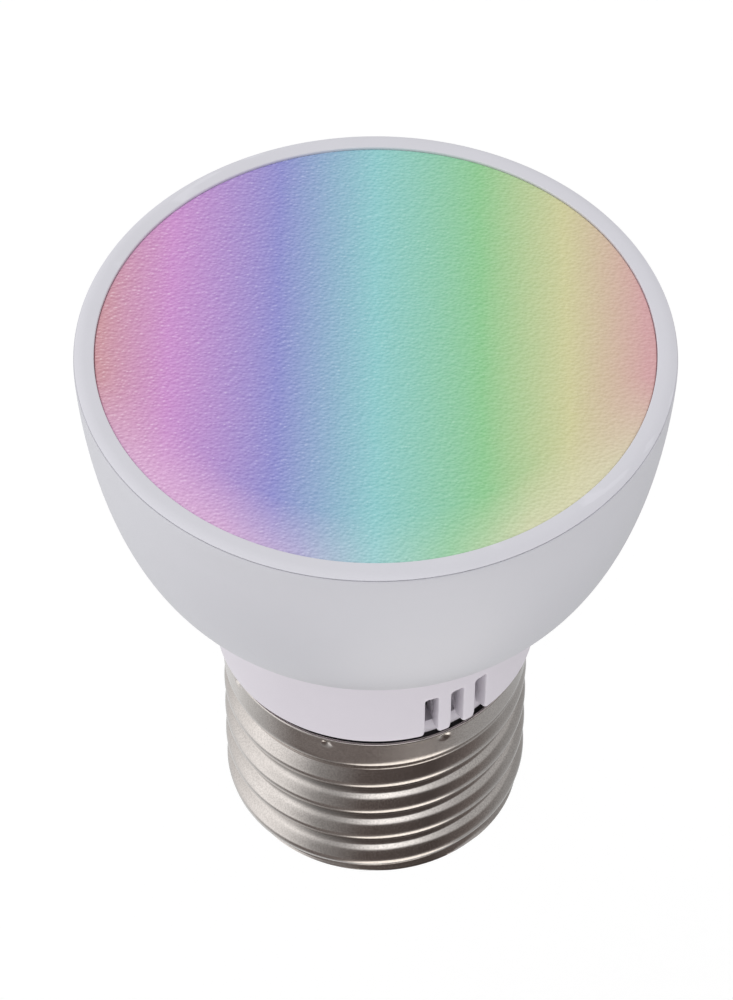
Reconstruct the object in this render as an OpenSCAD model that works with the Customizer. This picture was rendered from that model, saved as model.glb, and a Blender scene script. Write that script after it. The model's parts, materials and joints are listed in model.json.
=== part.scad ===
// Smart LED lamp: a flat-faced bowl on a short vented neck, with an E27 screw cap.
// Origin: the tip of the centre contact. +Z runs along the lamp's axis, towards the diffuser.
// The front of the lamp faces -Y. Millimetres.

/* [Overall] */
// Height from the contact tip to the rim
total_h = 61.5; // [60.5:0.25:63]
// Diameter across the rim
rim_d = 49; // [48.8:0.1:49.6]

/* [Diffuser and bezel] */
// Diameter of the diffuser disc
lens_d = 45.5; // [45.1:0.1:45.6]
// Thickness of the diffuser disc
lens_t = 1.55; // [1.2:0.05:1.6]
// How far the diffuser's face lies below the rim
lens_recess = 0.15; // [0.05:0.05:0.4]
// How far the bezel's face falls away at its outer edge
bezel_drop = 0.3; // [0.2:0.05:0.4]

/* [Bowl] */
// Depth of the bowl from the rim to its flat underside
bowl_h = 22.5; // [22:0.1:22.8]
// How much narrower the underside is than the rim, as a radius
bowl_bulge = 8.9; // [8.7:0.05:9]
// Height of the side curve's centre above the rim
bowl_over = 3.4; // [3:0.1:3.8]
// Wall thickness of the bowl
bowl_wall = 1.3; // [1.2:0.05:1.35]

/* [Neck] */
// Diameter of the neck at its lower edge
neck_d = 27.5; // [27.3:0.1:27.8]
// Wall thickness of the neck's skirt
neck_wall = 1.4; // [1.2:0.05:1.45]
// Gap between the neck's lower edge and the metal cap
neck_gap = 1.1; // [0.8:0.1:1.3]
// Width of one vent slot
slot_w = 1.2; // [0.8:0.1:1.5]
// Height of one vent slot
slot_h = 4.9; // [3:0.1:5]
// Angle from one vent slot to the next
slot_step = 10; // [9:0.1:14]
// Angle from the front to the middle slot of the first group
slot_turn = 30.4; // [0:0.1:90]
// Number of groups of three slots
slot_groups = 2; // [1:1:4]

/* [Screw cap] */
// Height of the whole cap, from the contact tip to the shell's top edge
cap_h = 26; // [25.5:0.1:26.5]
// Outer diameter over the thread's crests
thread_d = 26.3; // [26.05:0.05:26.45]
// Height from crest to root
thread_depth = 0.9; // [0.8:0.05:0.95]
// Distance from one turn to the next, seven to the inch
thread_pitch = 3.629; // [3.6:0.001:3.65]
// Thickness of the shell's sheet metal
sheet = 0.3; // [0.25:0.01:0.3]
// Diameter of the centre contact
contact_d = 9.4; // [9:0.1:9.6]

/* [Light board] */
// Depth of the heat sink's plate below the rim
plate_depth = 9.8; // [9.6:0.05:9.9]
// Diameter of the light board
board_d = 39.2; // [38.8:0.1:39.4]
// Number of coloured light chips
rgb_count = 9; // [3:1:10]
// Radius of the ring of coloured chips
rgb_ring = 13.2; // [13.1:0.1:13.3]
// Radius of the ring of fixing screws
screw_ring = 16.9; // [16.8:0.05:17]

/* [Hidden] */
$fn = 96;

// Heights
rim_z = total_h;
bowl_floor_z = rim_z - bowl_h;
neck_z = cap_h + neck_gap;
plate_z = rim_z - plate_depth;

// Clearances
fit_gap = 0.1;
eps = 0.01;

// Bezel
rim_r = rim_d / 2;
lens_r = lens_d / 2;
bezel_edge_r = rim_r - 0.05;
bezel_flat_r = rim_r - 0.9;
bezel_round_r = (pow(bezel_edge_r - bezel_flat_r, 2) + pow(bezel_drop, 2)) / (2 * bezel_drop);
bezel_round_a = asin((bezel_edge_r - bezel_flat_r) / bezel_round_r);
bezel_lip_z = rim_z - 0.06 - bezel_drop;
bezel_skirt_r = rim_r - 1;
bezel_skirt_z = rim_z - 2.7;
bezel_ledge_r = lens_r - 1.25;
lens_seat_z = rim_z - lens_recess - lens_t;

// Bowl
bowl_rim_drop = 0.45;
bowl_shoulder = 2.8;
neck_hole_r = neck_d / 2 + 0.3;

// Neck
neck_flange_z = bowl_floor_z + bowl_wall + 0.05;
neck_flange_t = 1.1;
neck_round = 0.35;
neck_bore_r = 10.6;
spigot_r = 11.6;
web_z = neck_z + 6.1;
waist_z = cap_h - 1.6;
waist_depth = 1.4;
lip_depth = 0.3;
lip_top_z = cap_h + 0.5;
vent_z = neck_z + 0.1;

// Cap
crest_r = thread_d / 2;
collar_inner_r = crest_r - sheet;
shell_bottom_z = 6.4;
shell_turn_z = 9.7;
shell_hole_r = 10.3;
shell_end_r = 10.6;
first_crest_z = 9.78;
rows_a_turn = 8;
run_out_top_z = cap_h - 2;
run_out_end_z = cap_h - 5.5;
crest_share = 0.7;
flank_r = 2 * (pow(thread_pitch / 4, 2) + pow(thread_depth / 2, 2)) / thread_depth;
crest_round_r = crest_share * flank_r;
root_round_r = (1 - crest_share) * flank_r;
contact_r = contact_d / 2;
contact_t = 1.2;

// Light board
plate_t = 1.5;
pad_t = 0.3;
board_t = 1;
board_z = plate_z + pad_t;
board_top_z = board_z + board_t;
screw_hole_r = 1;

// Driver
driver_back = -0.3;
driver_t = 1.2;
driver_front = driver_back - driver_t;
cover_z = neck_flange_z + neck_flange_t + 0.1;
cover_top_z = plate_z - plate_t - 0.4;
cover_t = 0.8;
driver_top_z = cover_top_z - cover_t - 0.4;
driver_bottom_z = 11;

// Radio board and pins
radio_y = 3.2;
radio_t = 0.8;
radio_w = 15;
radio_z = cover_z + 0.6;
radio_top_z = rim_z - 3.9;
pin_pitch = 2.54;
pin_w = 0.64;
pin_xs = [for (i = [-2:2]) i * pin_pitch];
pin_y = driver_back + 0.35;

// Points of a circular arc in the outline's plane
function arc(x, z, r, from, to, steps = 8) =
    [for (i = [0:steps]) let (a = from + (to - from) * i / steps) [x + r * cos(a), z + r * sin(a)]];

// The bowl's side is a quarter ellipse; wall moves it inwards
function bowl_side(wall, phi) = [
    rim_r + 0.15 - wall - bowl_bulge + bowl_bulge * cos(phi),
    rim_z + bowl_over - (bowl_h + bowl_over - wall) * sin(phi)
];

// The angle on that ellipse at a depth below the rim
function bowl_phi(wall, depth) = asin((depth + bowl_over) / (bowl_h + bowl_over - wall));

function bowl_curve(wall, depth_from, depth_to, steps = 16) =
    let (a = bowl_phi(wall, depth_from), b = bowl_phi(wall, depth_to))
    [for (i = [0:steps]) bowl_side(wall, a + (b - a) * i / steps)];

// A body turned about the lamp's axis
module turned(outline) {
    rotate_extrude() polygon(outline);
}

// A round rod from one point to another, with a ball at its start
module rod(from, to, r) {
    d = to - from;
    length = norm(d);
    translate(from) {
        sphere(r, $fn = 24);
        rotate([0, acos(d[2] / length), atan2(d[1], d[0])]) cylinder(r = r, h = length, $fn = 24);
    }
}

// Rounds a route's corners, by cutting each one off
function rounded(p) = concat(
    [p[0]],
    [for (i = [0:len(p) - 2]) each [0.75 * p[i] + 0.25 * p[i + 1], 0.25 * p[i] + 0.75 * p[i + 1]]],
    [p[len(p) - 1]]
);

function unit(v) = v / norm(v);

// Direction of a route at each of its points
function tangents(p) =
    [for (i = [0:len(p) - 1]) unit(p[min(i + 1, len(p) - 1)] - p[max(i - 1, 0)])];

// A side direction at each point, carried along without twist
function sides_of(t, first) = [
    for (i = 0, n = unit(cross(t[0], first)); i < len(t);
        i = i + 1, n = i < len(t) ? unit(n - (n * t[i]) * t[i]) : n) n
];

// A wire of radius r along a route, as one closed tube
module wire(route, r, first) {
    sides = 8;
    p = rounded(rounded(route));
    t = tangents(p);
    n = sides_of(t, first);
    last = len(p) - 1;
    points = [
        for (i = [0:last], k = [0:sides - 1])
            let (a = 360 * k / sides)
            p[i] + r * (cos(a) * n[i] + sin(a) * cross(t[i], n[i]))
    ];
    walls = [
        for (i = [0:last - 1], k = [0:sides - 1], half = [0, 1])
            let (a = i * sides + k, b = i * sides + (k + 1) % sides)
            half == 0 ? [a, a + sides, b] : [b, a + sides, b + sides]
    ];
    foot = [for (k = [0:sides - 1]) k];
    head = [for (k = [sides - 1:-1:0]) last * sides + k];
    polyhedron(points, concat(walls, [foot, head]), convexity = 4);
}

// A box from its lowest corner to its highest
module block(low, high) {
    translate(low) cube(high - low);
}

// ---- Outer shell ----

module diffuser_lens() {
    chamfer = 0.15;
    top = rim_z - lens_recess;
    color("plum") turned([
        [0, lens_seat_z], [lens_r - chamfer, lens_seat_z], [lens_r, lens_seat_z + chamfer],
        [lens_r, top - chamfer], [lens_r - chamfer, top], [0, top]
    ]);
}

module bezel_ring() {
    chamfer = 0.08;
    inner_r = lens_r + fit_gap;
    color("whitesmoke") turned(concat(
        [[inner_r, lens_seat_z], [inner_r, rim_z - chamfer], [inner_r + chamfer, rim_z]],
        arc(bezel_flat_r, rim_z - bezel_round_r, bezel_round_r, 90, 90 - bezel_round_a),
        [
            [bezel_edge_r, bezel_lip_z], [bezel_skirt_r, bezel_lip_z - 0.64],
            [bezel_skirt_r, bezel_skirt_z + 0.2], [bezel_skirt_r - 0.2, bezel_skirt_z],
            [bezel_ledge_r, bezel_skirt_z], [bezel_ledge_r, lens_seat_z]
        ]
    ));
}

module bowl_housing() {
    mouth_r = bezel_skirt_r + 0.05;
    color("gainsboro") turned(concat(
        bowl_curve(0, bowl_rim_drop, bowl_h, 24),
        [[neck_hole_r, bowl_floor_z], [neck_hole_r, bowl_floor_z + bowl_wall]],
        bowl_curve(bowl_wall, bowl_h - bowl_wall, bowl_shoulder, 24),
        [[mouth_r, rim_z - bowl_shoulder], [mouth_r, bezel_lip_z - 0.71]]
    ));
}

// A slot through the skirt, and the window behind it through the spigot's wall
module vent_slot() {
    half_slot = slot_w / 2;
    half_window = half_slot + 0.12;
    skirt_cut_r = neck_d / 2 - neck_wall - 0.05;
    top_z = neck_z + slot_h;
    block([skirt_cut_r, -half_slot, neck_z - fit_gap], [neck_d / 2 + 1, half_slot, top_z]);
    block([neck_bore_r - 0.5, -half_window, vent_z], [skirt_cut_r - 0.1, half_window, top_z]);
}

module vent_slots() {
    front = -90;
    for (group = [0:slot_groups - 1])
        for (i = [-1:1])
            rotate(front + slot_turn + group * 360 / slot_groups + i * slot_step) vent_slot();
}

module neck_skirt() {
    edge_r = neck_d / 2;
    skirt_inner_r = edge_r - neck_wall;
    spigot_foot_z = 9.2;
    thread_spigot_r = crest_r - thread_depth - sheet - 0.1;
    collar_spigot_r = collar_inner_r - 0.05;
    waist_r = collar_spigot_r - waist_depth;
    lip_r = collar_spigot_r - lip_depth;
    color("mistyrose") difference() {
        turned(concat(
            [
                [neck_bore_r, neck_flange_z + neck_flange_t], [neck_bore_r, spigot_foot_z],
                [thread_spigot_r, spigot_foot_z], [thread_spigot_r, run_out_top_z - 0.8],
                [collar_spigot_r, run_out_top_z + 0.05], [collar_spigot_r, waist_z],
                [waist_r, waist_z], [waist_r, cap_h - 0.2], [lip_r, cap_h + 0.05], [lip_r, lip_top_z],
                [spigot_r, neck_z + 1.4], [spigot_r, web_z], [skirt_inner_r, web_z],
                [skirt_inner_r, neck_z + 1.2], [skirt_inner_r + 0.5, neck_z]
            ],
            arc(edge_r - neck_round, neck_z + neck_round, neck_round, 270, 360, 5),
            [
                [edge_r + 0.2, bowl_floor_z], [edge_r + 0.2, neck_flange_z],
                [edge_r + 1.15, neck_flange_z], [edge_r + 1.15, neck_flange_z + neck_flange_t]
            ]
        ));
        vent_slots();
        // Groove that lets the neutral wire out to the shell
        block([-0.5, thread_spigot_r - 0.9, spigot_foot_z - 1], [0.5, thread_spigot_r + 1, 16]);
    }
}

// ---- Screw cap ----

// How far the surface lies below the crest, for a place along the thread in turns.
// The crests' arcs take more of each turn than the roots' do.
function thread_drop(turns) =
    let (from_crest = abs(turns - round(turns)) * thread_pitch)
    let (from_root = thread_pitch / 2 - from_crest)
    from_crest < crest_share * thread_pitch / 2
        ? crest_round_r - sqrt(pow(crest_round_r, 2) - pow(from_crest, 2))
        : thread_depth - root_round_r + sqrt(pow(root_round_r, 2) - pow(from_root, 2));

// The thread fades out into the plain collar
function run_out(z) =
    let (t = min(1, max(0, (run_out_top_z - z) / (run_out_top_z - run_out_end_z))))
    t * t * (3 - 2 * t);

// The shell's lower end turns in under the last thread
function shell_end(z, wall) =
    let (t = min(1, max(0, (shell_turn_z - z) / (shell_turn_z - shell_bottom_z - wall))))
    shell_end_r + (crest_r - wall - shell_end_r) * sqrt(1 - t * t);

// Shell radius at a height and an angle from +X, for the outer face or, with wall, the inner one
function shell_r(z, angle, wall) =
    let (turns = (z - first_crest_z) / thread_pitch - (angle + 90) / 360)
    min(crest_r - wall - run_out(z) * thread_drop(turns), shell_end(z, wall));

// Heights of the shell's rows, from the top edge down
function shell_rows(wall) = concat(
    [cap_h, cap_h - 1.2],
    [for (z = [run_out_top_z:-thread_pitch / rows_a_turn:shell_turn_z]) z],
    [for (a = [15:15:90]) shell_turn_z - (shell_turn_z - shell_bottom_z - wall) * sin(a)]
);

function shell_ring(z, wall, columns) = [
    for (i = [0:columns - 1])
        let (a = 360 * i / columns, r = shell_r(z, a, wall)) [r * cos(a), r * sin(a), z]
];

function round_ring(z, r, columns) =
    [for (i = [0:columns - 1]) let (a = 360 * i / columns) [r * cos(a), r * sin(a), z]];

module screw_shell() {
    columns = 40;
    outer = shell_rows(0);
    inner = shell_rows(sheet);
    rings = concat(
        [for (z = outer) shell_ring(z, 0, columns)],
        [round_ring(shell_bottom_z, shell_hole_r, columns)],
        [round_ring(shell_bottom_z + sheet, shell_hole_r, columns)],
        [for (i = [len(inner) - 1:-1:0]) shell_ring(inner[i], sheet, columns)]
    );
    count = len(rings);
    points = [for (ring = rings) each ring];
    faces = [
        for (j = [0:count - 1], i = [0:columns - 1], half = [0, 1])
            let (a = j * columns + i, b = j * columns + (i + 1) % columns)
            let (c = ((j + 1) % count) * columns + i, d = ((j + 1) % count) * columns + (i + 1) % columns)
            half == 0 ? [a, b, c] : [b, d, c]
    ];
    color("silver") polyhedron(points, faces, convexity = 6);
}

module cap_insulator() {
    foot_z = contact_t + 0.1;
    hub_z = shell_bottom_z + 1.6;
    stem_hole_r = 1.6;
    color("#1d1b1c") turned(concat(
        [[stem_hole_r, foot_z], [contact_r + 0.6, foot_z], [contact_r + 1, foot_z + 0.3]],
        [for (i = [1:6]) [
            contact_r + 1 + (shell_hole_r - contact_r - 1.1) * sin(15 * i),
            shell_bottom_z - 0.2 - (shell_bottom_z - foot_z - 0.5) * cos(15 * i)
        ]],
        [[shell_hole_r - 0.1, shell_bottom_z + 0.4], [shell_hole_r - 0.1, hub_z], [stem_hole_r, hub_z]]
    ));
}

module centre_contact() {
    flat_r = 2.4;
    stem_r = 1.5;
    stem_top_z = shell_bottom_z + 1.9;
    color("goldenrod") difference() {
        turned(concat(
            [[0, 0], [flat_r, 0]],
            [for (i = [1:5]) [flat_r + (contact_r - flat_r) * sin(18 * i), 0.8 - 0.8 * cos(18 * i)]],
            [[contact_r, contact_t], [stem_r, contact_t], [stem_r, stem_top_z], [0, stem_top_z]]
        ));
        translate([0, 0, stem_top_z - 3]) cylinder(r = 0.7, h = 4);
    }
}

// ---- Light board and heat sink ----

module reflector_ring() {
    foot_r = board_d / 2 + 0.3;
    top_r = lens_r - 0.35;
    top_z = bezel_skirt_z - fit_gap;
    wall = 0.7;
    color("white") turned([
        [foot_r, plate_z + 0.05], [foot_r + 1, plate_z + 0.05], [foot_r + 1.1, plate_z + 1.4],
        [top_r, top_z - 1], [top_r, top_z], [top_r - wall, top_z],
        [top_r - wall - 0.1, top_z - 1], [foot_r + 0.3, plate_z + 1.6], [foot_r, plate_z + 1.4]
    ]);
}

// The three fixing screws' places
module at_screws() {
    for (a = [90:120:330]) rotate(a) translate([screw_ring, 0, 0]) children();
}

// Straight ways through the light board for the radio board and the pins
module radio_way(low, high) {
    side = radio_w / 2 + 0.2;
    block([-side, radio_y - 0.2, low], [side, radio_y + radio_t + 0.2, high]);
}

module pin_way(low, high) {
    block([-6.7, -1.2, low], [6.7, 1.5, high]);
}

module heat_sink_cup() {
    wall = bowl_wall + 0.2;
    inner = wall + 1.2;
    lower = 19;
    color("lightgray") difference() {
        turned(concat(
            [[0, plate_z - plate_t], [0, plate_z]],
            bowl_curve(wall, plate_depth, lower, 14),
            bowl_curve(inner, lower, plate_depth + plate_t, 14)
        ));
        radio_way(plate_z - plate_t - 1, plate_z + 1);
        pin_way(plate_z - plate_t - 1, plate_z + 1);
        at_screws() translate([0, 0, plate_z - plate_t - 1]) cylinder(r = screw_hole_r, h = plate_t + 2);
    }
}

module thermal_pad() {
    color("lightsteelblue") difference() {
        translate([0, 0, plate_z]) cylinder(d = board_d - 0.8, h = pad_t);
        radio_way(plate_z - 1, plate_z + 1);
        pin_way(plate_z - 1, plate_z + 1);
        at_screws() translate([0, 0, plate_z - 1]) cylinder(r = screw_hole_r + 0.3, h = 2);
    }
}

module light_board() {
    color("ivory") difference() {
        translate([0, 0, board_z]) cylinder(d = board_d, h = board_t);
        radio_way(board_z - 1, board_top_z + 1);
        for (x = pin_xs) translate([x, pin_y, board_z - 1]) cylinder(r = 0.55, h = 3, $fn = 24);
        at_screws() translate([0, 0, board_z - 1]) cylinder(r = screw_hole_r + 0.15, h = 3);
        // Key notch at the rim
        translate([0, -board_d / 2, board_z - 1]) cylinder(r = 1.2, h = 3);
    }
}

// One light chip: a square body with a round window
module light_chip(length, width, height, window_r) {
    difference() {
        translate([-length / 2, -width / 2, 0]) cube([length, width, height]);
        translate([0, 0, height - 0.2]) cylinder(r = window_r, h = 1, $fn = 32);
    }
}

module rgb_chips() {
    half_step = 180 / rgb_count;
    color("snow") for (i = [0:rgb_count - 1])
        rotate(90 + half_step + i * 360 / rgb_count) translate([rgb_ring, 0, board_top_z])
            light_chip(3.5, 3.5, 0.9, 1.4);
}

module white_chips() {
    ring = 9.1;
    color("khaki") for (a = [-150, -110, -70, -30, 48, 76, 104, 132])
        rotate(a) translate([ring, 0, board_top_z]) light_chip(3.5, 2.8, 0.7, 1.1);
}

module board_screws() {
    head_r = 1.9;
    head_h = 1.2;
    color("gainsboro") at_screws() translate([0, 0, board_top_z]) difference() {
        union() {
            rotate_extrude() polygon(concat(
                [[0, 0], [head_r, 0], [head_r, head_h - 0.5]],
                arc(head_r - 0.5, head_h - 0.5, 0.5, 0, 90, 4),
                [[0, head_h]]
            ));
            translate([0, 0, -3]) cylinder(r = screw_hole_r - 0.05, h = 3 + eps);
        }
        for (turn = [0, 90]) rotate(turn) translate([-1, -0.2, head_h - 0.6]) cube([2, 0.4, 1]);
    }
}

// ---- Driver ----

module driver_cover() {
    foot_r = neck_d / 2 + 0.85;
    head_r = foot_r + 3.4;
    color("whitesmoke") difference() {
        turned([
            [foot_r - cover_t, cover_z], [foot_r, cover_z], [head_r, cover_top_z - 0.8],
            [head_r - 0.8, cover_top_z], [0, cover_top_z], [0, cover_top_z - cover_t],
            [head_r - 1.3, cover_top_z - cover_t]
        ]);
        radio_way(cover_top_z - 2, cover_top_z + 1);
        pin_way(cover_top_z - 2, cover_top_z + 1);
    }
}

module driver_board() {
    tail_w = 19;
    head_w = 26;
    step_z = cover_z + 0.2;
    color("darkgreen") translate([0, driver_back, 0]) rotate([90, 0, 0]) linear_extrude(driver_t)
        difference() {
            polygon([
                [-tail_w / 2 + 1, driver_bottom_z], [tail_w / 2 - 1, driver_bottom_z],
                [tail_w / 2, driver_bottom_z + 1], [tail_w / 2, step_z],
                [head_w / 2, step_z], [head_w / 2, driver_top_z],
                [-head_w / 2, driver_top_z], [-head_w / 2, step_z],
                [-tail_w / 2, step_z], [-tail_w / 2, driver_bottom_z + 1]
            ]);
            for (side = [-1, 1]) translate([side * 8.3, 13.6]) circle(r = 0.5, $fn = 24);
        }
}

// An upright electrolytic capacitor, with its two leads bent back to the board
module electrolytic(y, z, d, h) {
    r = d / 2;
    translate([0, y, z]) rotate_extrude() polygon([
        [0, 0], [r - 0.3, 0], [r, 0.3], [r, h - 2.2], [r - 0.35, h - 1.9],
        [r - 0.35, h - 1.5], [r, h - 1.2], [r, h - 0.3], [r - 0.3, h], [0, h]
    ]);
    for (side = [-1, 1]) {
        foot = [side * d / 4, y, z + 0.2];
        rod([foot[0], y, z - 0.9], foot, 0.25);
        rod([foot[0], y, z - 0.9], [foot[0], driver_front - 0.02, z - 0.9], 0.25);
    }
}

module bulk_capacitor() {
    color("#24303f") electrolytic(driver_front - 4.2, 13.4, 8, 12);
}

module filter_capacitor() {
    color("#33393f") electrolytic(driver_front - 3.4, 28.6, 6.3, 10.5);
}

module film_capacitor() {
    base = driver_back + 0.1;
    color("goldenrod") {
        block([-4.5, base + 0.8, 26], [4.5, base + 5, 33.5]);
        for (x = [-3.2, 3.2]) block([x - 0.25, base, 27], [x + 0.25, base + 0.8, 27.5]);
    }
}

module drum_choke() {
    r = 3.5;
    core_r = 2.9;
    z = 14;
    h = 8;
    color("dimgray") translate([0, driver_back + r + 0.3, z]) rotate_extrude() polygon(concat(
        [[0, 0], [r, 0], [r, 1]],
        [for (i = [0:6], side = [0, 1]) [core_r + 0.25 * side, 1.2 + i * 0.85 + side * 0.4]],
        [[r, h - 1], [r, h], [0, h]]
    ));
}

module fusible_resistor() {
    x = 6.8;
    y = driver_back + 2.1;
    color("tan") {
        translate([x, y, 13]) rotate_extrude() polygon([
            [0, 0], [1.2, 0], [1.6, 0.6], [1.6, 1.8], [1.35, 2.2],
            [1.35, 5.8], [1.6, 6.2], [1.6, 7.4], [1.2, 8], [0, 8]
        ]);
        rod([x, y, 20.9], [x, y, 22.2], 0.3);
        rod([x, y, 22.2], [x, driver_back + 0.02, 22.2], 0.3);
    }
}

// A surface-mounted package: a body with a row of legs along its two long sides
module leaded_package(length, width, height, legs, pitch) {
    translate([-length / 2, -width / 2, 0.1]) cube([length, width, height]);
    for (side = [-1, 1], i = [0:legs - 1])
        translate([(i - (legs - 1) / 2) * pitch - 0.2, side * (width / 2 + 0.4) - 0.4, 0])
            cube([0.4, 0.8, height / 2]);
}

module bridge_rectifier() {
    color("#202022") translate([0, driver_back, 37.5]) rotate([-90, 0, 0])
        leaded_package(4.7, 3.9, 1.5, 2, 2.54);
}

module driver_chip() {
    color("#1b1b1d") translate([-7.5, driver_front, cover_z + 3.6]) rotate([90, 0, 0])
        leaded_package(4.9, 3.9, 1.5, 4, 1.27);
}

module chip_parts() {
    color("#8a6f4d") {
        for (i = [0:3]) {
            block([-8.6, driver_back, 24 + i * 3.4], [-7, driver_back + 0.5, 24.8 + i * 3.4]);
            block([6.9, driver_back, 25 + i * 3.4], [8.5, driver_back + 0.55, 25.8 + i * 3.4]);
        }
        for (z = [30, 33, 36]) block([-7.4, driver_front - 0.5, z], [-5.8, driver_front, z + 0.8]);
        for (x = [9.2, 11])
            block([x, driver_front - 0.6, cover_z + 2], [x + 0.8, driver_front, cover_z + 3.6]);
    }
}

// The transformer's place: its low corner and its size
core_low = [-1, driver_front - 8.2, cover_z + 1.5];
core_size = [9, 8, 4.4];
core_leg = 1.3;
coil_leg = 2.4;

module transformer_core() {
    window_h = (core_size[1] - 2 * core_leg - coil_leg) / 2;
    color("#3a3a3d") translate(core_low) difference() {
        cube(core_size);
        for (y = [core_leg, core_leg + window_h + coil_leg])
            translate([core_leg, y, -1]) cube([core_size[0] - 2 * core_leg, window_h, core_size[2] + 2]);
    }
}

module transformer_coil() {
    length = core_size[0] - 2 * core_leg - 0.2;
    half_leg = coil_leg / 2 + 0.1;
    half_stack = core_size[2] / 2 + 0.1;
    wall = 1.2;
    color("orange") translate(core_low + core_size / 2) difference() {
        cube([length, 2 * (half_leg + wall), 2 * (half_stack + 1)], center = true);
        cube([length + 2, 2 * half_leg, 2 * half_stack], center = true);
    }
}

// ---- Radio board and pins ----

module radio_board() {
    side = radio_w / 2;
    color("navy") block([-side, radio_y, radio_z], [side, radio_y + radio_t, radio_top_z]);
}

module radio_shield() {
    face = radio_y + radio_t;
    color("silver") difference() {
        block([-6, face, radio_z + 1.2], [6, face + 1.8, cover_top_z - cover_t - 0.4]);
        block([-5.8, face - 1, radio_z + 1.4], [5.8, face + 1.6, cover_top_z - cover_t - 0.6]);
    }
}

module radio_antenna() {
    face = radio_y + radio_t;
    strip = 0.5;
    copper = 0.06;
    reach = 2.6;
    top = radio_top_z - 0.5;
    color("darkgoldenrod") for (i = [0:6]) {
        x = -6.2 + i * 1.9;
        block([x, face, top - reach], [x + strip, face + copper, top]);
        if (i < 6) {
            z = i % 2 == 0 ? top - strip : top - reach;
            block([x + strip, face, z], [x + 1.9, face + copper, z + strip]);
        }
    }
}

module radio_header() {
    z = radio_z + 0.2;
    color("#222224") {
        block([-6.2, driver_back + 0.8, z - 0.1], [6.2, driver_back + 2.4, z + 1.5]);
        for (x = pin_xs)
            block([x - 0.25, driver_back, z + 0.4], [x + 0.25, radio_y, z + 0.9]);
    }
}

module light_pins() {
    half = pin_w / 2;
    color("gold") for (x = pin_xs)
        block([x - half, pin_y - half, driver_top_z - 3], [x + half, pin_y + half, board_top_z + 0.9]);
}

module light_pin_block() {
    gap = pin_w / 2 + 0.03;
    low = plate_z - plate_t - 0.2;
    high = plate_z - 0.1;
    color("#222224") difference() {
        block([-6.4, -1, low], [6.4, 1.3, high]);
        for (x = pin_xs) block([x - gap, pin_y - gap, low - 1], [x + gap, pin_y + gap, high + 1]);
    }
}

// ---- Wires ----

module live_wire() {
    top = shell_bottom_z + 1.95;
    color("firebrick") wire([
        [0, 0, top + 0.5], [-2, 1, top + 1.6], [-6, 1.6, 10.8], [-8.3, 1.2, 12.4],
        [-8.3, 0.9, 13.6], [-8.3, driver_back + 0.7, 14.2]
    ], 0.55, [0, 1, 0]);
}

module neutral_wire() {
    y = crest_r - thread_depth - sheet - 0.1 - 0.45;
    color("lightgray") wire([
        [8.3, driver_back + 0.35, 13.2], [8.4, 1.4, 11.4], [7.2, 5, 9.2],
        [4, 8.6, 8.5], [1, 10.9, 8.45], [0, y, 8.5], [0, y, 9.6], [0, y, 15.4]
    ], 0.3, [1, 0, 0]);
}

diffuser_lens();
bezel_ring();
bowl_housing();
neck_skirt();
screw_shell();
cap_insulator();
centre_contact();
reflector_ring();
heat_sink_cup();
thermal_pad();
light_board();
rgb_chips();
white_chips();
board_screws();
driver_cover();
driver_board();
bulk_capacitor();
filter_capacitor();
film_capacitor();
drum_choke();
fusible_resistor();
bridge_rectifier();
driver_chip();
chip_parts();
transformer_core();
transformer_coil();
radio_board();
radio_shield();
radio_antenna();
radio_header();
light_pins();
light_pin_block();
live_wire();
neutral_wire();
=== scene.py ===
"""Smart light bulb: its visible shells, lit diffuser and all its materials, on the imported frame."""
import json
import math

import bmesh
import bpy
import numpy as np
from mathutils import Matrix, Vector, noise
from mathutils.geometry import delaunay_2d_cdt


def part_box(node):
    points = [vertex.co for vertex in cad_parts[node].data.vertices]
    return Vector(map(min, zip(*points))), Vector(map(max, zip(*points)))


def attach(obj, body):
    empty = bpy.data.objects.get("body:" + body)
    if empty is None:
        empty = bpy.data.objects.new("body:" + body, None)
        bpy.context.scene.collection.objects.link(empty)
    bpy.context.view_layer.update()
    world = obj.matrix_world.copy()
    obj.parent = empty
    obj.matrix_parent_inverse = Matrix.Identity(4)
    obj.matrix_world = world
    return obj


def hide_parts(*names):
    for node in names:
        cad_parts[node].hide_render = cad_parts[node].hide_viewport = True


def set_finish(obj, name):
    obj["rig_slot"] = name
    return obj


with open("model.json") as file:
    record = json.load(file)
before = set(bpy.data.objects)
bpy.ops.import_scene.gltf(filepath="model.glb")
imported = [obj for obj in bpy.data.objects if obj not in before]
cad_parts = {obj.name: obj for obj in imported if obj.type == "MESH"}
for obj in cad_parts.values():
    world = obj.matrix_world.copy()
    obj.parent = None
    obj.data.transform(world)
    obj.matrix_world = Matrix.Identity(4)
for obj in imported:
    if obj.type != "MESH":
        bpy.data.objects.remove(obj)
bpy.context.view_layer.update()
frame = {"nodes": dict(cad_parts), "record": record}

MM = 0.001
BODY = "root"
FRONT = -90.0  # the front's angle about the lamp's axis, in degrees
SEGMENTS = 256
SHARP_ANGLE = math.radians(40)
WHITE = (1, 1, 1, 1)


# ---- Sizes in millimetres: from the frame, and the few that its boxes can't give ----

def span(node):
    """The lowest and highest corner of a CAD node, in millimetres."""
    low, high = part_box(node)
    return low / MM, high / MM


lens_low, lens_high = span("diffuser_lens")
bezel_low, bezel_high = span("bezel_ring")
bowl_low, _ = span("bowl_housing")
neck_low, neck_high = span("neck_skirt")
shell_low, shell_high = span("screw_shell")
glass_low, glass_high = span("cap_insulator")
_, contact_high = span("centre_contact")

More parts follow.
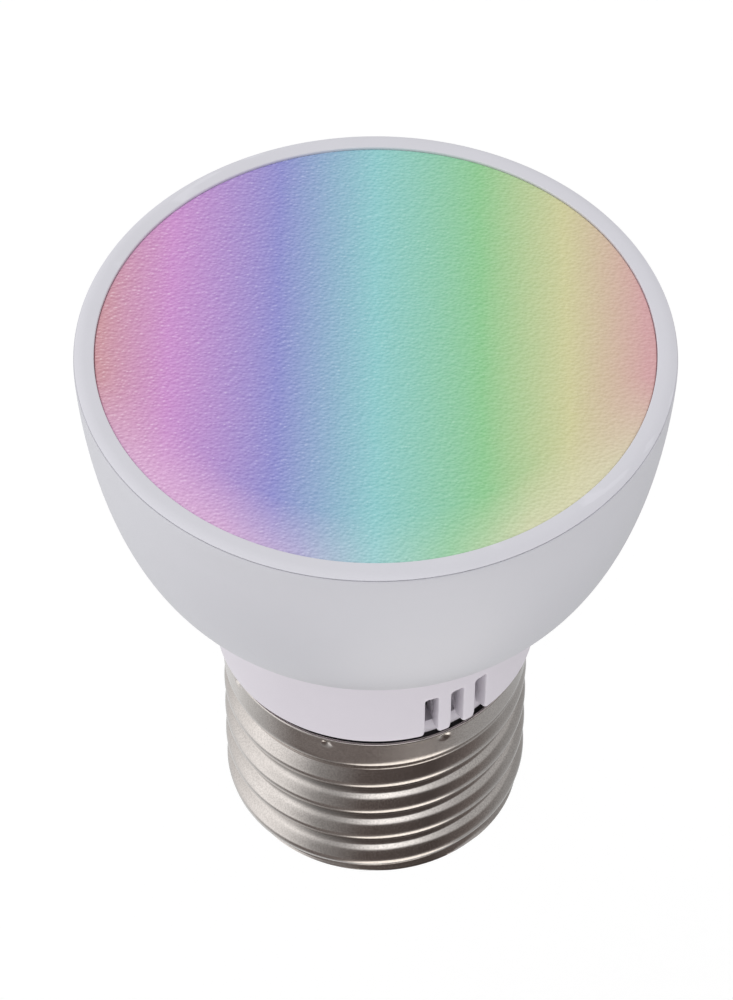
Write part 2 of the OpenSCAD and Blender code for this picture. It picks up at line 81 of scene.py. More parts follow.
rim_z = bezel_high.z
rim_r = bezel_high.x
bowl_wall = 1.3
bowl_bulge = 8.9  # half the width of the ellipse that the bowl's side follows
bowl_over = 3.4  # that ellipse's centre above the rim
neck_edge_r = 13.75
neck_wall = 1.4
neck_lean = 0.2  # how much wider the neck is at the bowl
neck_z = shell_high.z + 1.1

slot_w = 1.2
slot_h = 4.9
slot_turn = 30.4  # the middle slot's angle from the front, to the right, in degrees
slot_step = 10.0
slot_groups = 2

crest_r = shell_high.x
thread_depth = 0.9
thread_pitch = 3.629
first_crest_z = 9.78  # the lowest crest's height at the front
shell_turn_z = 9.7  # where the shell's lower end starts to turn in
sheet = 0.3
crimp_turn = -18.2  # one crimp's angle from the front, in degrees
crimp_step = 45.0


# ---- Outlines ----

def unit(v):
    """A vector's direction."""
    return v / np.linalg.norm(v)


def rounded(corners, steps=5, closed=True):
    """An outline's points, from its corners given as (across, up, rounding)."""
    points = []
    last = len(corners) - 1
    for i, (across, up, rounding) in enumerate(corners):
        here = np.array([across, up], float)
        if rounding == 0 or (not closed and i in (0, last)):
            points.append(here)
            continue
        back = unit(np.array(corners[i - 1][:2]) - here)
        on = unit(np.array(corners[(i + 1) % len(corners)][:2]) - here)
        half = math.acos(max(-1.0, min(1.0, float(back @ on)))) / 2
        centre = here + unit(back + on) * rounding / math.sin(half)
        reach = rounding / math.tan(half)
        first, final = here + back * reach - centre, here + on * reach - centre
        start = math.atan2(first[1], first[0])
        turn = math.atan2(final[1], final[0]) - start
        turn = (turn + math.pi) % (2 * math.pi) - math.pi
        for k in range(steps + 1):
            a = start + turn * k / steps
            points.append(centre + rounding * np.array([math.cos(a), math.sin(a)]))
    return points


def plain(points):
    """Points of a curve as corners with no rounding."""
    return [(p[0], p[1], 0) for p in points]


def arc(across, up, r, start, end, steps):
    """Points of an arc, with its angles in degrees."""
    angles = np.radians(np.linspace(start, end, steps + 1))
    return [(across + r * math.cos(a), up + r * math.sin(a)) for a in angles]


# ---- Meshes ----

def linked(name, vertices, faces):
    """An object from points in millimetres, with shared points joined and its normals outward."""
    mesh = bpy.data.meshes.new(name)
    bm = bmesh.new()
    made = [bm.verts.new(Vector(v) * MM) for v in vertices]
    for face in faces:
        bm.faces.new([made[i] for i in face])
    bmesh.ops.remove_doubles(bm, verts=bm.verts, dist=1e-7)
    bmesh.ops.recalc_face_normals(bm, faces=bm.faces)
    bm.to_mesh(mesh)
    bm.free()
    mesh.shade_smooth()
    mesh.set_sharp_from_angle(angle=SHARP_ANGLE)
    piece = bpy.data.objects.new(name, mesh)
    bpy.context.scene.collection.objects.link(piece)
    return piece


def finished(name, vertices, faces, slot, node):
    """Makes a piece and lets it stand for its CAD node."""
    piece = linked(name, vertices, faces)
    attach(piece, BODY)
    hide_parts(node)
    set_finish(piece, slot)
    return piece


def ring_faces(count, around, closed):
    """Quads between rings of points, each ring joined to the next."""
    faces = []
    for j in range(count if closed else count - 1):
        a, b = j * around, (j + 1) % count * around
        for i in range(around):
            k = (i + 1) % around
            faces.append((a + i, a + k, b + k, b + i))
    return faces


def ring(r, z, angles):
    """A ring about the lamp's axis; r may be one radius or one for each angle."""
    return np.stack([r * np.cos(angles), r * np.sin(angles), np.full_like(angles, z)], axis=1)


def turned(outline, segments=SEGMENTS):
    """Points and faces of an outline turned about the lamp's axis."""
    angles = np.linspace(0, 2 * math.pi, segments, endpoint=False)
    rings = [ring(r, z, angles) for r, z in outline]
    return np.concatenate(rings), ring_faces(len(rings), segments, closed=True)


# ---- Bezel, bowl and diffuser ----

def make_bezel():
    """The ring round the diffuser, with the ledge that the disc rests on."""
    shoulder, drop = 0.85, 0.3
    flat_r = rim_r - shoulder
    curve_r = ((rim_r - flat_r) ** 2 + drop ** 2) / (2 * drop)
    curve_a = math.degrees(math.asin((rim_r - flat_r) / curve_r))
    lip_z = rim_z - 0.06 - drop
    inner_r, skirt_r, ledge_r = lens_high.x + 0.1, rim_r - 0.95, lens_high.x - 1.25
    outline = rounded(
        [(inner_r, lens_low.z, 0), (inner_r, rim_z, 0.1)]
        + plain(arc(flat_r, rim_z - curve_r, curve_r, 90, 90 - curve_a, 10))
        + [
            (rim_r, lip_z, 0.08), (rim_r - 0.13, lip_z - 0.06, 0), (skirt_r, lip_z - 0.64, 0.1),
            (skirt_r, bezel_low.z, 0.2), (ledge_r, bezel_low.z, 0.15), (ledge_r, lens_low.z, 0.1),
        ]
    )
    return finished("bezel", *turned(outline), "bezel", "bezel_ring")


def bowl_side(wall, depths):
    """The bowl's side, part of an ellipse, at some depths below the rim; wall moves it inwards."""
    reach = rim_z - bowl_low.z + bowl_over - wall
    middle_r = rim_r + 0.2 - wall - bowl_bulge
    return [
        (middle_r + bowl_bulge * math.sqrt(1 - min(1, (d + bowl_over) / reach) ** 2), rim_z - d)
        for d in depths
    ]


def make_bowl():
    """The bowl: one thin moulded shell whose side runs smoothly into its flat underside."""
    hole_r, mouth_r, lip_drop = neck_edge_r + 0.3, rim_r - 0.9, 0.41
    outer_start, inner_end, bottom = 0.149, 0.26, math.pi / 2
    reach = rim_z - bowl_low.z + bowl_over
    outer = [reach * math.sin(a) - bowl_over for a in np.linspace(outer_start, bottom, 56)]
    inner = [
        (reach - bowl_wall) * math.sin(a) - bowl_over for a in np.linspace(bottom, inner_end, 36)
    ]
    lip_r, lip_z = bowl_side(0, [lip_drop])[0][0] - 0.01, rim_z - lip_drop
    outline = rounded(
        [(lip_r, lip_z, 0.09)]
        + plain(bowl_side(0, [d for d in outer if d > 0.6]))
        + [(hole_r, bowl_low.z, 0.12), (hole_r, bowl_low.z + bowl_wall, 0.1)]
        + plain(bowl_side(bowl_wall, inner))
        + [
            (mouth_r, rim_z - 2.8, 0), (mouth_r, rim_z - 1.02, 0.05),
            (rim_r - 0.12, lip_z - 0.03, 0),
        ]
    )
    return finished("bowl", *turned(outline), "bowl", "bowl_housing")


def disc_grid(count):
    """A square grid of points pressed into a unit disc, its outermost points on the circle."""
    line = np.linspace(-1, 1, count + 1)
    across, up = np.meshgrid(line, line)
    wide = np.abs(across) >= np.abs(up)
    r = np.where(wide, across, up)
    ratio = np.where(wide, up, across) / np.where(np.abs(r) < 1e-9, 1, r)
    a = np.where(wide, math.pi / 4 * ratio, math.pi / 2 - math.pi / 4 * ratio)
    return r * np.cos(a), r * np.sin(a)


def pebble(x, y):
    """Height of the diffuser's pebbled grain at a point, in millimetres."""
    height, steepness, waviness = 0.024, 1.7, 0.16
    wrinkle = waviness * noise.noise(Vector((x, y, 7)) * 1.7)
    near, far = noise.voronoi(Vector((x * 1.9 + wrinkle, y * 2.3 + wrinkle, 0)))[0][:2]
    return height * min(1.0, (far - near) * steepness)


def make_diffuser():
    """The flat diffuser disc with its pebbled face and rounded edge."""
    count, rounding = 400, 0.1
    r, top, seat = lens_high.x + 0.04, lens_high.z - 0.03, lens_low.z
    face_x, face_y = (c * (r - rounding) for c in disc_grid(count))
    fade = np.clip((r - rounding - np.hypot(face_x, face_y)) / 0.5, 0, 1)
    heights = np.array([pebble(x, y) for x, y in zip(face_x.flat, face_y.flat)])
    face_z = top + heights * fade.ravel()
    points = list(zip(face_x.flat, face_y.flat, face_z))
    across = count + 1
    faces = [
        (j * across + i, j * across + i + 1, (j + 1) * across + i + 1, (j + 1) * across + i)
        for j in range(count) for i in range(count)
    ]
    edge = list(range(count)) + [j * across + count for j in range(count)]
    edge += [count * across + i for i in range(count, 0, -1)]
    edge += [j * across for j in range(count, 0, -1)]
    angles = np.array([math.atan2(face_y.flat[i], face_x.flat[i]) for i in edge])
    side = (
        arc(r - rounding, top - rounding, rounding, 90, 0, 4)
        + arc(r - rounding, seat + rounding, rounding, 0, -90, 4) + [(0, seat)]
    )
    start = len(points)
    for radius, z in side:
        points.extend(ring(radius, z, angles))
    faces += [tuple(start + i for i in f) for f in ring_faces(len(side), len(angles), closed=False)]
    return finished("diffuser", points, faces, "diffuser", "diffuser_lens")


# ---- Neck ----

def slot_centres():
    """Angles of the vent slots from the front, in degrees, from the lowest to the highest."""
    centres = [
        slot_turn + group * 360 / slot_groups + step * slot_step
        for group in range(slot_groups) for step in (-1, 0, 1)
    ]
    return sorted((c + 180) % 360 - 180 for c in centres)


def evened(points, spacing):
    """The same open outline with its long stretches divided."""
    made = [points[0]]
    for a, b in zip(points, points[1:]):
        parts = max(1, math.ceil(np.linalg.norm(b - a) / spacing))
        made.extend(a + (b - a) * k / parts for k in range(1, parts + 1))
    return np.array(made)


def skirt_border(spacing):
    """The skirt's lower edge, unrolled, with a notch for each vent slot: (along, height) points."""
    half_turn, tooth, corner, top = math.pi * neck_edge_r, 0.32, 0.28, neck_z + slot_h
    corners = [(-half_turn, neck_z, 0)]
    for centre in slot_centres():
        left, right = (math.radians(centre) * neck_edge_r + side * slot_w / 2 for side in (-1, 1))
        corners += [
            (left, neck_z, tooth), (left, top, corner),
            (right, top, corner), (right, neck_z, tooth),
        ]
    corners.append((half_turn, neck_z, 0))
    return evened(rounded(corners, steps=8, closed=False), spacing)


def inward(border):
    """Unit vectors across an open outline, into the material on its left."""
    along = np.gradient(border, axis=0)
    along /= np.linalg.norm(along, axis=1)[:, None]
    return np.stack([-along[:, 1], along[:, 0]], axis=1)


def skirt_point(along, z, depth):
    """A point of the skirt wall, rolled round the axis; depth is measured in from its face."""
    slope = neck_lean / (bowl_low.z - neck_z)
    r = neck_edge_r + max(0.0, z - neck_z) * slope - depth
    a = along / neck_edge_r
    return (r * math.sin(a), -r * math.cos(a), z)


def skirt_sheet(low, top_z, spacing):
    """Triangles of the unrolled wall above a border: the points and the faces."""
    left, right = low[0][0], low[-1][0]
    columns = np.linspace(left, right, round((right - left) / spacing) + 1)
    rows = np.linspace(neck_z + 0.6, top_z, 22)
    outline = [tuple(p) for p in low]
    outline += [(right, z) for z in rows] + [(a, top_z) for a in columns[-2:0:-1]]
    outline += [(left, z) for z in rows[::-1]]
    inner = [
        (a, z) for z in rows[:-1] for a in columns[1:-1]
        if np.min(np.hypot(low[:, 0] - a, low[:, 1] - z)) > 0.6 * spacing and not in_notch(a, z)
    ]
    points = [Vector(p) for p in outline + inner]
    made = delaunay_2d_cdt(points, [], [list(range(len(outline)))], 1, 1e-6)
    return [tuple(p) for p in made[0]], made[2]


def in_notch(along, z):
    """Whether an unrolled point lies in a vent slot."""
    if z > neck_z + slot_h:
        return False
    centres = [math.radians(c) * neck_edge_r for c in slot_centres()]
    return any(abs(along - c) < slot_w / 2 + 0.05 for c in centres)


def make_skirt():
    """The neck's outer wall, open in its vent slots, with its lower edge and the slots' rounded."""
    spacing, top_z = 0.45, bowl_low.z + bowl_wall
    edge_rounding, slot_rounding, change_h = 0.38, 0.14, 0.9
    border = skirt_border(spacing)
    across = inward(border)
    risen = eased((border[:, 1:] - neck_z) / change_h)
    rounding = edge_rounding - (edge_rounding - slot_rounding) * risen
    low = border + across * rounding
    flat, triangles = skirt_sheet(low, top_z, spacing)
    points = [skirt_point(a, z, 0) for a, z in flat]
    faces = [tuple(t) for t in triangles]
    start = len(points)
    points += [skirt_point(a, z, neck_wall) for a, z in flat]
    faces += [tuple(start + i for i in reversed(t)) for t in triangles]
    # the edge's section, from the outer face to the inner one: how far in from the border and
    # how far from its face each point is, as shares of the rounding, and the depth of that face
    quarter = np.radians(np.linspace(0, 90, 5))
    section = [(1 - math.sin(a), 1 - math.cos(a), 0) for a in quarter]
    section += [(offset, -depth, neck_wall) for offset, depth, _ in reversed(section)]
    start = len(points)
    for offset, turn_in, base in section:
        row = border + across * rounding * offset
        points += [skirt_point(a, z, base + turn_in * r) for (a, z), r in zip(row, rounding[:, 0])]
    faces += strip_faces(start, len(section), len(border))
    left, right = border[0][0], border[-1][0]
    top = np.linspace(left, right, round((right - left) / spacing) + 1)
    start = len(points)
    for depth in (0, neck_wall):
        points += [skirt_point(a, top_z, depth) for a in top]
    faces += strip_faces(start, 2, len(top))
    return finished("neck_wall", points, faces, "neck", "neck_skirt")


def strip_faces(start, count, length):
    """Quads between open rows of points that follow each other."""
    return [
        (start + j * length + i, start + j * length + i + 1,
         start + (j + 1) * length + i + 1, start + (j + 1) * length + i)
        for j in range(count - 1) for i in range(length - 1)
    ]


def boxes(name, made):
    """One object of boxes, each given as its turn about the axis in radians and two corners.

    A box with no turn is at the front: its x runs out from the axis and its y to the right.
    """
    points, faces = [], []
    for turn, low, high in made:
        start = len(points)
        for i in range(8):
            x, y, z = (high[k] if i >> k & 1 else low[k] for k in range(3))
            to_right = x * math.sin(turn) + y * math.cos(turn)
            to_back = y * math.sin(turn) - x * math.cos(turn)
            points.append((to_right, to_back, z))
        sides = ((0, 1, 3, 2), (4, 6, 7, 5), (0, 4, 5, 1), (2, 3, 7, 6), (0, 2, 6, 4), (1, 5, 7, 3))
        faces += [tuple(start + i for i in side) for side in sides]
    return linked(name, points, faces)


def cut(piece, cutter):
    """Takes the cutter out of a piece, for good."""
    modifier = piece.modifiers.new("cut", "BOOLEAN")
    modifier.object, modifier.solver = cutter, "EXACT"
    shown = piece.evaluated_get(bpy.context.evaluated_depsgraph_get())
    mesh = bpy.data.meshes.new_from_object(shown)
    piece.modifiers.clear()
    piece.data = mesh
    bpy.data.objects.remove(cutter)
    mesh.set_sharp_from_angle(angle=SHARP_ANGLE)


def make_spigot():
    """The neck's inner part: its flange in the bowl, and the vented spigot for the metal shell."""
    bore_r, spigot_r, collar_r = 10.6, 11.6, crest_r - sheet - 0.05
    thread_r, foot_z, web_z = crest_r - thread_depth - sheet - 0.1, neck_low.z, neck_z + 6.1
    inner_r, cap_z = neck_edge_r - neck_wall, shell_high.z
    waist_z, waist_r, lip_r = cap_z - 1.6, collar_r - 1.4, collar_r - 0.3
    web_r = inner_r + 0.2
    flange_z, top_z = bowl_low.z + bowl_wall + 0.05, neck_high.z
    outline = rounded([
        # the part inside the thread
        (bore_r, top_z, 0.1), (bore_r, foot_z, 0.1), (thread_r, foot_z, 0.2),
        (thread_r, cap_z - 2.8, 0.1),
        # the collar inside the shell's plain end, and the groove in it
        (collar_r, cap_z - 1.95, 0.1), (collar_r, waist_z, 0.05), (waist_r, waist_z, 0.2),
        (waist_r, cap_z - 0.2, 0.1), (lip_r, cap_z + 0.05, 0.1), (lip_r, cap_z + 0.5, 0.2),
        # the part behind the slots
        (spigot_r, neck_z + 1.4, 0.3), (spigot_r, web_z, 0.2), (web_r, web_z, 0),
        # the flange
        (web_r, flange_z, 0), (neck_high.x, flange_z, 0.1), (neck_high.x, top_z, 0.2),
    ], steps=8)
    spigot = finished("neck_spigot", *turned(outline, 192), "neck", "neck_skirt")
    half_w = slot_w / 2 + 0.12
    low, high = (bore_r - 0.5, -half_w, neck_z + 0.1), (inner_r - 0.15, half_w, neck_z + slot_h)
    cut(spigot, boxes("windows", [(math.radians(c), low, high) for c in slot_centres()]))
    return spigot


# ---- Screw cap ----

def eased(t):
    """A smooth step from 0 to 1."""
    t = np.clip(t, 0, 1)
    return t * t * (3 - 2 * t)


def thread_drop(turns):
    """How far the thread lies below its crests, for a place along it in turns."""
    crest_share = 0.7
    flank_r = 2 * ((thread_pitch / 4) ** 2 + (thread_depth / 2) ** 2) / thread_depth
    crest_round, root_round = crest_share * flank_r, (1 - crest_share) * flank_r
    from_crest = np.abs(turns - np.round(turns)) * thread_pitch
    from_root = thread_pitch / 2 - from_crest
    near_crest = crest_round - np.sqrt(np.maximum(crest_round ** 2 - from_crest ** 2, 0))
    near_root = thread_depth - root_round + np.sqrt(np.maximum(root_round ** 2 - from_root ** 2, 0))
    return np.where(from_crest < crest_share * thread_pitch / 2, near_crest, near_root)


def crimp_dent(z, degrees):
    """Depth of the punched crimps that hold the shell on the neck."""
    width, height, depth, below_edge = 0.34, 0.26, 0.2, 0.55
    off = (degrees - FRONT - crimp_turn + crimp_step / 2) % crimp_step - crimp_step / 2
    along = np.radians(off) * crest_r
    up = z - shell_high.z + below_edge
    return depth * np.exp(-(along / width) ** 2 - (up / height) ** 2)


def shell_radius(z, degrees, wall):
    """Radius of the shell's outer face or, with wall, its inner one."""
    end_r, plain_h, run_in = 10.6, 2, 3.5
    turns = (z - first_crest_z) / thread_pitch - (degrees - FRONT) / 360
    fade = eased((shell_high.z - plain_h - z) / run_in)
    body = crest_r - wall - fade * thread_drop(turns) - crimp_dent(z, degrees)
    t = min(1.0, max(0.0, (shell_turn_z - z) / (shell_turn_z - shell_low.z - wall)))
    return np.minimum(body, end_r + (crest_r - wall - end_r) * math.sqrt(1 - t * t))


def shell_angles():
    """Angles of the shell's columns in degrees, closer together at the crimps."""
    coarse = np.arange(0, 360, 1.5)
    crimps = FRONT + crimp_turn + crimp_step * np.arange(round(360 / crimp_step))
    fine = np.concatenate([c + np.arange(-4, 4.01, 0.4) for c in crimps]) % 360
    far = [a for a in coarse if np.min(np.abs((a - crimps + 180) % 360 - 180)) > 4.5]
    return np.sort(np.concatenate([far, fine]))


def make_shell():
    """The rolled thread: a thin sheet, both faces, with its turned-in lower end."""
    rows_a_turn, edge_r = 40, 0.1
    degrees = shell_angles()
    angles = np.radians(degrees)
    edge_z = shell_high.z - edge_r

    def heights(wall):
        """Heights of one face's rings, from the top edge to the turned-in end."""
        run = np.arange(edge_z - 0.02, shell_turn_z, -thread_pitch / rows_a_turn)
        reach = shell_turn_z - shell_low.z - wall
        bend = [shell_turn_z - reach * math.sin(math.radians(a)) for a in range(6, 91, 6)]
        return list(run) + bend

    def edge_rings(centre_depth, outward, bends):
        """Rings of one rounding of the top edge, by the angle they have turned up from its face."""
        made = []
        for a in np.radians(bends):
            depth = centre_depth - outward * edge_r * math.cos(a)
            made.append(ring(shell_radius(edge_z, degrees, depth), edge_z + edge_r * math.sin(a), angles))
        return made

    rings = edge_rings(edge_r, 1, range(75, -1, -15))
    rings += [ring(shell_radius(z, degrees, 0), z, angles) for z in heights(0)]
    hole_r = glass_high.x + 0.1
    rings += [ring(hole_r + 0.1, shell_low.z, angles), ring(hole_r, shell_low.z + 0.1, angles)]
    rings += [ring(hole_r, shell_low.z + sheet - 0.02, angles)]
    rings += [ring(shell_radius(z, degrees, sheet), z, angles) for z in reversed(heights(sheet))]
    rings += edge_rings(sheet - edge_r, -1, range(0, 91, 15))
    faces = ring_faces(len(rings), len(angles), closed=True)
    return finished("thread_shell", np.concatenate(rings), faces, "nickel", "screw_shell")


def make_insulator():
    """The black glass between shell and contact."""
    hole_r, foot_z, side_r = 1.6, glass_low.z, glass_high.x
    foot_r, base_z, toe = contact_high.x + 0.6, shell_low.z - 0.2, 0.4
    flare = [
        (foot_r + toe + (side_r - foot_r - toe) * math.sin(a),
         base_z - (base_z - foot_z - toe) * math.cos(a))
        for a in np.radians(np.linspace(8, 90, 20))
    ]
    outline = rounded(
        [(hole_r, foot_z, 0.1), (foot_r + 0.3, foot_z, 0.25)] + plain(flare)
        + [(side_r, glass_high.z, 0.1), (hole_r, glass_high.z, 0.1)]
    )
    return finished("glass_insulator", *turned(outline, 192), "black_glass", "cap_insulator")


def make_contact():
    """The stamped centre contact and the hollow stem that holds it."""
    flat_r, stem_r, hole_r, hole_depth = 2.4, 1.5, 0.7, 3
    bend, thickness = 0.8, 1.2
    side_r, top = contact_high.x, contact_high.z
    dome = [
        (flat_r + (side_r - flat_r) * math.sin(a), bend - bend * math.cos(a))
        for a in np.radians(np.linspace(6, 84, 14))
    ]
    outline = rounded(
        [(0, 0, 0), (flat_r, 0, 0)] + plain(dome)
        + [
            (side_r, thickness, 0.15), (stem_r, thickness, 0.1), (stem_r, top, 0.15), (hole_r, top, 0.1),
            (hole_r, top - hole_depth, 0.1), (0, top - hole_depth, 0),
        ]
    )
    return finished("contact_button", *turned(outline, 128), "contact_brass", "centre_contact")


# ---- Node materials ----

class Nodes:
    """A node tree, written as calls that return sockets."""

    def __init__(self, tree):
        self.tree = tree

    def add(self, kind, inputs=None, **settings):
        """A node with its inputs given as values or as other nodes' sockets."""
        made = self.tree.nodes.new(kind)
        for key, value in settings.items():
            setattr(made, key, value)
        for key, value in (inputs or {}).items():
            self.put(made.inputs[key], value)
        return made

    def put(self, socket, value):
        """Links a socket to another, or sets its value."""
        if isinstance(value, bpy.types.NodeSocket):
            self.tree.links.new(value, socket)
        else:
            socket.default_value = value

    def math(self, operation, a, b=0.0):
        """One arithmetic operation."""
        return self.add("ShaderNodeMath", {0: a, 1: b}, operation=operation).outputs[0]

    def remap(self, value, low, high, to_low, to_high):
        """A value's range moved to another range, and held within it."""
        made = self.add("ShaderNodeMapRange", {"Value": value})
        for key, end in (("From Min", low), ("From Max", high), ("To Min", to_low), ("To Max", to_high)):
            self.put(made.inputs[key], end)
        return made.outputs[0]

    def vector_math(self, operation, a, b, c=(0, 0, 0), output=0):
        """One operation on vectors."""
        return self.add("ShaderNodeVectorMath", {0: a, 1: b, 2: c}, operation=operation).outputs[output]

    def parts(self, vector):
        """The x, y and z of a vector."""
        return self.add("ShaderNodeSeparateXYZ", {0: vector}).outputs

    def sum(self, a, b, weight=1.0):
        """a + b * weight."""
        made = self.add("ShaderNodeMath", {0: b, 1: weight, 2: a}, operation="MULTIPLY_ADD")
        return made.outputs[0]

    def times(self, a, b):
        """a * b."""
        return self.math("MULTIPLY", a, b)

    def length(self, x, y):
        """The length of a flat vector."""
        return self.math("SQRT", self.sum(self.times(x, x), self.times(y, y)))

    def mix(self, factor, a, b, blend="MIX"):
        """Two colours mixed."""
        made = self.add("ShaderNodeMix", data_type="RGBA", blend_type=blend)
        for socket, value in ((made.inputs[0], factor), (made.inputs[6], a), (made.inputs[7], b)):
            self.put(socket, value)
        return made.outputs[2]

    def bands(self, value, stops):
        """A colour for each value between 0 and 1, from (position, colour) stops."""
        made = self.add("ShaderNodeValToRGB", {"Fac": value})
        elements = made.color_ramp.elements
        while len(elements) < len(stops):
            elements.new(0.5)
        for element, (position, colour) in zip(elements, stops):
            element.position = position
            element.color = (*colour, 1)
        return made.outputs["Color"]


class Graph(Nodes):
    """A material's nodes, with places on the lamp in millimetres."""

    def __init__(self, name):
        self.material = bpy.data.materials.new(name)
        self.material.use_nodes = True
        super().__init__(self.material.node_tree)
        self.shader = self.tree.nodes["Principled BSDF"]
        metres = self.add("ShaderNodeTexCoord").outputs["Object"]
        scaled = self.add("ShaderNodeVectorMath", {0: metres, 3: 1 / MM}, operation="SCALE")
        self.place = scaled.outputs[0]

    def stretched(self, x, y, z):
        """The place in millimetres, scaled by axis."""
        return self.vector_math("MULTIPLY", self.place, (x, y, z))

    def noise(self, scale, detail=3.0, roughness=0.5, place=None, distortion=0.0):
        """Noise from 0 to 1; scale is in features a millimetre."""
        inputs = {
            "Vector": place or self.place, "Scale": scale, "Detail": detail,
            "Roughness": roughness, "Distortion": distortion,
        }
        return self.add("ShaderNodeTexNoise", inputs).outputs["Fac"]

    def cells(self, scale, feature="F1", place=None):
        """Distance to the nearest cell's centre, or with DISTANCE_TO_EDGE to its edge."""
        inputs = {"Vector": place or self.place, "Scale": scale}
        return self.add("ShaderNodeTexVoronoi", inputs, feature=feature).outputs["Distance"]

    def pointed(self, low, high, to_low=0, to_high=1):
        """Pointiness, over 0.5 on outer edges and under it in hollows, moved to another range."""
        geometry = self.add("ShaderNodeNewGeometry").outputs
        return self.remap(geometry["Pointiness"], low, high, to_low, to_high)

    def bump(self, height, distance, strength=1.0, normal=None):
        """A bumped normal; distance is in millimetres."""
        inputs = {"Height": height, "Distance": distance * MM, "Strength": strength}
        if normal is not None:
            inputs["Normal"] = normal
        return self.add("ShaderNodeBump", inputs).outputs["Normal"]

    def finish(self, **sockets):
        """Sets the shader's sockets by name, with _ for spaces."""
        for key, value in sockets.items():
            self.put(self.shader.inputs[key.replace("_", " ")], value)
        return self.material


def shade(colour, factor):
    """A colour made lighter or darker, with its alpha."""
    return (*[min(1.0, c * factor) for c in colour[:3]], 1)


def plastic(name, colour, grain, depth, rough, spread, coat=0.0, specular=0.5, fade=None):
    """Moulded plastic: fine grain, faint flow marks, small scuffs and paler worn edges.

    grain is in features a millimetre and depth in millimetres; roughness is rough, give or take
    spread. fade is a height, a lower height and the tone's factor from there down, for painted shade.
    """
    g = Graph(name)
    flow = g.noise(0.12, 4, 0.6, distortion=0.6)
    speck = g.noise(grain * 2.5, 2)
    tone = g.mix(g.remap(flow, 0.3, 0.7, 0, 1), shade(colour, 0.985), shade(colour, 1.015))
    tone = g.mix(g.remap(speck, 0.35, 0.65, 0, 0.5), tone, shade(colour, 0.97))
    tone = g.mix(g.pointed(0.5, 0.6), tone, shade(colour, 1.06))
    # painted shade: the tone darkens from the given height down
    if fade:
        high, low, factor = fade
        tone = g.mix(g.remap(g.parts(g.place)[2], high, low, 0, 1), tone, shade(colour, factor))
    skin = g.noise(grain, 4, 0.6)
    scuff = g.remap(g.noise(0.9, 6, 0.75, g.stretched(1, 1, 0.25)), 0.62, 0.75, 0, 1)
    gloss = g.sum(g.remap(skin, 0.3, 0.7, rough - spread, rough + spread), scuff, 0.12)
    normal = g.bump(g.noise(0.35, 2), 0.02, 0.3, g.bump(skin, depth))
    return g.finish(
        Base_Color=tone, Roughness=gloss, Normal=normal, IOR=1.47, Coat_Weight=coat,
        Specular_IOR_Level=specular,
    )


def metal(name, colour, rough, grain, depth, tarnish):
    """Worked metal: drawn or plated grain, fine specks, dull hollows and bright rubbed edges."""
    g = Graph(name)
    cloud = g.noise(0.25, 5, 0.65, distortion=0.4)
    grainy = g.noise(1.0, 4, 0.6, g.stretched(*grain))
    hollow = g.pointed(0.42, 0.49, 1, 0)
    tone = g.mix(g.remap(cloud, 0.35, 0.65, 0, 1), shade(colour, 0.95), shade(colour, 1.04))
    tone = g.mix(g.remap(g.noise(6.5, 2, 0.7), 0.42, 0.62, 0, 1), tone, shade(colour, 0.96))
    tone = g.mix(hollow, tone, shade(colour, tarnish))
    tone = g.mix(g.pointed(0.53, 0.62), tone, shade(colour, 1.12))
    gloss = g.sum(g.remap(grainy, 0.25, 0.75, rough - 0.05, rough + 0.06), cloud, 0.05)
    normal = g.bump(grainy, depth, 0.6, g.bump(g.noise(0.6, 3), 0.01, 0.35))
    return g.finish(Base_Color=tone, Roughness=gloss, Normal=normal, Metallic=1.0)


def rolled_nickel(name, colour):
    """Plated sheet, rolled: sandy specks, rubbed edges, an uneven gloss and painted shade in the thread's
    roots.
    """
    g = Graph(name)
    cloud = g.noise(0.25, 5, 0.65, distortion=0.4)
    grainy = g.noise(9, 4, 0.6)
    x, y, z = g.parts(g.place)
    root_r = crest_r - thread_depth
    root = g.remap(g.length(x, y), root_r + 0.02, root_r + 0.14, 1, 0)
    # painted shade in the thread's roots: darkest on the left, and none on the lowest turn
    root_shade_weight = g.times(g.remap(x, -11, 4, 0.95, 0.15), g.remap(z, 10.5, 11.5, 0, 1))
    tone = g.mix(g.remap(cloud, 0.35, 0.65, 0, 1), shade(colour, 0.95), shade(colour, 1.04))
    tone = g.mix(g.remap(g.noise(6.5, 2, 0.7), 0.42, 0.62, 0, 1), tone, shade(colour, 0.83))
    # painted shade: the thread's roots darkened
    tone = g.mix(g.times(root, root_shade_weight), tone, shade(colour, 0.2))
    tone = g.mix(g.pointed(0.53, 0.62), tone, shade(colour, 1.12))
    gloss = g.sum(g.remap(grainy, 0.25, 0.75, 0.09, 0.2), cloud, 0.05)
    normal = g.bump(grainy, 0.001, 0.6, g.bump(g.noise(0.6, 3), 0.01, 0.35))
    return g.finish(Base_Color=tone, Roughness=gloss, Normal=normal, Metallic=1.0)


def laminate(name, colour):
    """A circuit board: solder resist on a faint glass weave, with copper tracks showing through."""
    g = Graph(name)
    wave = g.add("ShaderNodeTexWave", {"Vector": g.place, "Scale": 1.6, "Distortion": 0.4})
    weave = wave.outputs["Fac"]
    track = g.remap(g.cells(0.45, "DISTANCE_TO_EDGE"), 0.05, 0.09, 1, 0)
    tone = g.mix(g.remap(weave, 0, 1, 0, 0.35), shade(colour, 1.0), shade(colour, 0.9))
    tone = g.mix(track, tone, shade(colour, 1.35))
    normal = g.bump(track, 0.03, 0.6, g.bump(g.noise(5, 3), 0.003))
    gloss = g.remap(g.noise(1.5, 4), 0.3, 0.7, 0.28, 0.42)
    return g.finish(Base_Color=tone, Roughness=gloss, Normal=normal, IOR=1.5)


